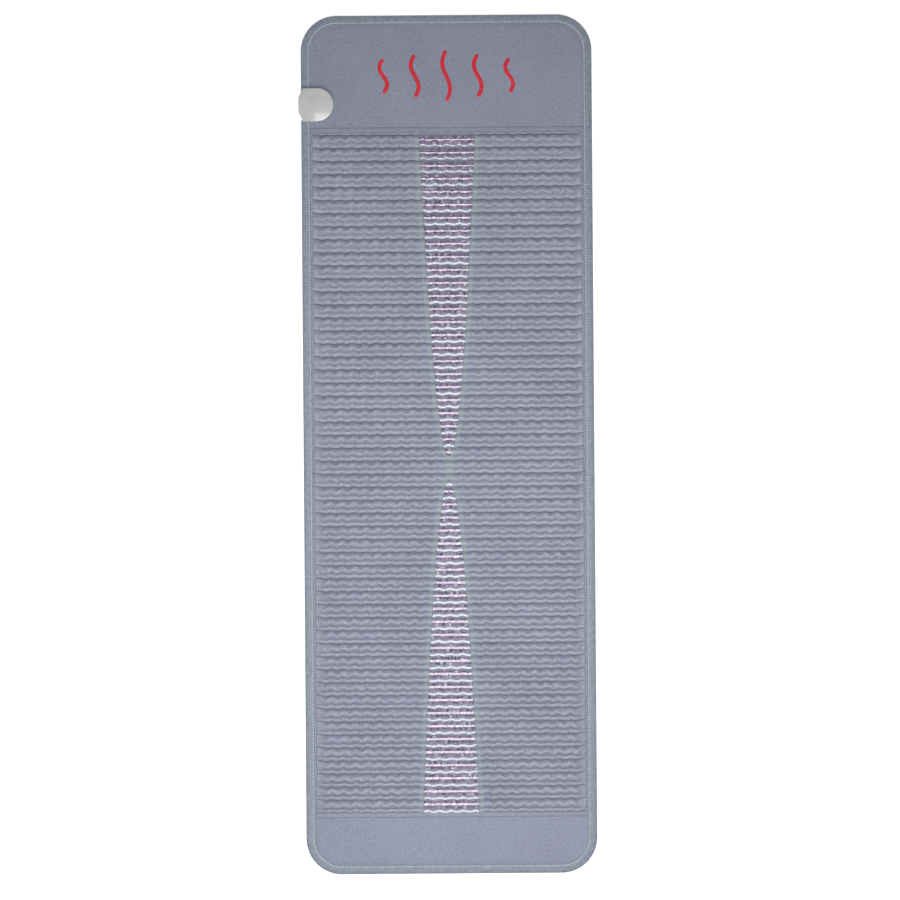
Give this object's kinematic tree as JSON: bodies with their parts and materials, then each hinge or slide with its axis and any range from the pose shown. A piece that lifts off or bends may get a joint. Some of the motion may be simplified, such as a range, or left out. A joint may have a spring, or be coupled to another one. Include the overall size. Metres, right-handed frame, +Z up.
{
  "type": "quilted infrared heating mat",
  "caption": "Flat quilted infrared heating mat with a clear gemstone window, bound edges, plain end panels and a side connector; it folds at three seams.",
  "frame": {"origin": "middle of the mat's rectangular outline, on the surface that the mat lies on; the connector housing stands out 4.5 mm past the left edge", "axes": "+X across the mat, to the right of a person looking down at it with the head end away from them; +Y towards the head end; +Z up"},
  "size_m": [0.6145, 1.8, 0.0258],
  "materials": {
    "woven_upholstery": "fine plain-woven polyester, mid blue-grey, matt with a faint sheen",
    "binding_tape": "folded woven edging tape, greenish grey, matt",
    "clear_film": "clear flexible film, glossy, welded flat between the channels",
    "amethyst": "tumbled amethyst chips, mauve to white, glassy",
    "stone_fill": "crushed dark mineral, matt",
    "base_cloth": "plain heat-resistant cloth, off white",
    "heater_jacket": "silicone wire jacket, dull red",
    "heater_fleece": "needled fleece, cream",
    "shield_mesh": "metallised mesh cloth, silvery",
    "insulation_felt": "needled felt, light grey, matt",
    "back_leathercloth": "coated cloth with a fine leather grain, dark grey",
    "lead_jacket": "wire jacket, light grey",
    "sensor_body": "potted sensor, black",
    "emblem_thread": "satin-stitch embroidery thread, red, silky",
    "housing_plastic": "moulded ABS, pale grey, glossy",
    "socket_plastic": "glass-filled nylon, black",
    "pin_brass": "turned brass contact pins, bright",
    "board_laminate": "glass-epoxy circuit board, green",
    "screw_steel": "zinc-plated steel",
    "fuse_ceramic": "thermal fuse body, off white"
  },
  "bodies": {
    "upper_half": {"upper_quilt_left": "woven_upholstery", "upper_stone_fill_left": "stone_fill", "upper_edge_binding_left": "binding_tape", "upper_quilt_right": "woven_upholstery", "upper_stone_fill_right": "stone_fill", "upper_edge_binding_right": "binding_tape", "upper_window_film": "clear_film", "upper_window_tape": "binding_tape", "upper_amethyst_chips": "amethyst", "upper_channel_base_cloth": "base_cloth", "upper_heating_wire": "heater_jacket", "upper_heater_fleece": "heater_fleece", "upper_shield_mesh": "shield_mesh", "upper_insulation_felt": "insulation_felt", "upper_back_cover": "back_leathercloth", "upper_lead_wires": "lead_jacket", "head_seam_tape": "binding_tape", "temperature_sensor": "sensor_body"},
    "lower_half": {"lower_quilt_left": "woven_upholstery", "lower_stone_fill_left": "stone_fill", "lower_edge_binding_left": "binding_tape", "lower_quilt_right": "woven_upholstery", "lower_stone_fill_right": "stone_fill", "lower_edge_binding_right": "binding_tape", "lower_window_film": "clear_film", "lower_window_tape": "binding_tape", "lower_amethyst_chips": "amethyst", "lower_channel_base_cloth": "base_cloth", "lower_heating_wire": "heater_jacket", "lower_heater_fleece": "heater_fleece", "lower_shield_mesh": "shield_mesh", "lower_insulation_felt": "insulation_felt", "lower_back_cover": "back_leathercloth", "lower_return_wire": "lead_jacket", "foot_seam_tape": "binding_tape"},
    "head_panel": {"head_top_cover": "woven_upholstery", "head_back_cover": "back_leathercloth", "head_padding": "insulation_felt", "head_edge_binding": "binding_tape", "head_lead_wires": "lead_jacket", "embroidered_emblem": "emblem_thread", "connector_upper_shell": "housing_plastic", "connector_lower_shell": "housing_plastic", "controller_socket": "socket_plastic", "contact_pins": "pin_brass", "connector_circuit_board": "board_laminate", "housing_screws": "screw_steel", "thermal_fuse": "fuse_ceramic"},
    "foot_panel": {"foot_top_cover": "woven_upholstery", "foot_back_cover": "back_leathercloth", "foot_padding": "insulation_felt", "foot_edge_binding": "binding_tape"}
  },
  "joints": [
    {"name": "head_fold", "type": "hinge", "parent": "upper_half", "child": "head_panel", "pos_m": [0, 0.6643, -0.0005], "axis": [-1, 0, 0], "range_deg": [0, 178]},
    {"name": "middle_fold", "type": "hinge", "parent": "upper_half", "child": "lower_half", "pos_m": [0, -0.061, 0.0212], "axis": [-1, 0, 0], "range_deg": [0, 178]},
    {"name": "foot_fold", "type": "hinge", "parent": "lower_half", "child": "foot_panel", "pos_m": [0, -0.7811, -0.0005], "axis": [1, 0, 0], "range_deg": [0, 178]}
  ]
}
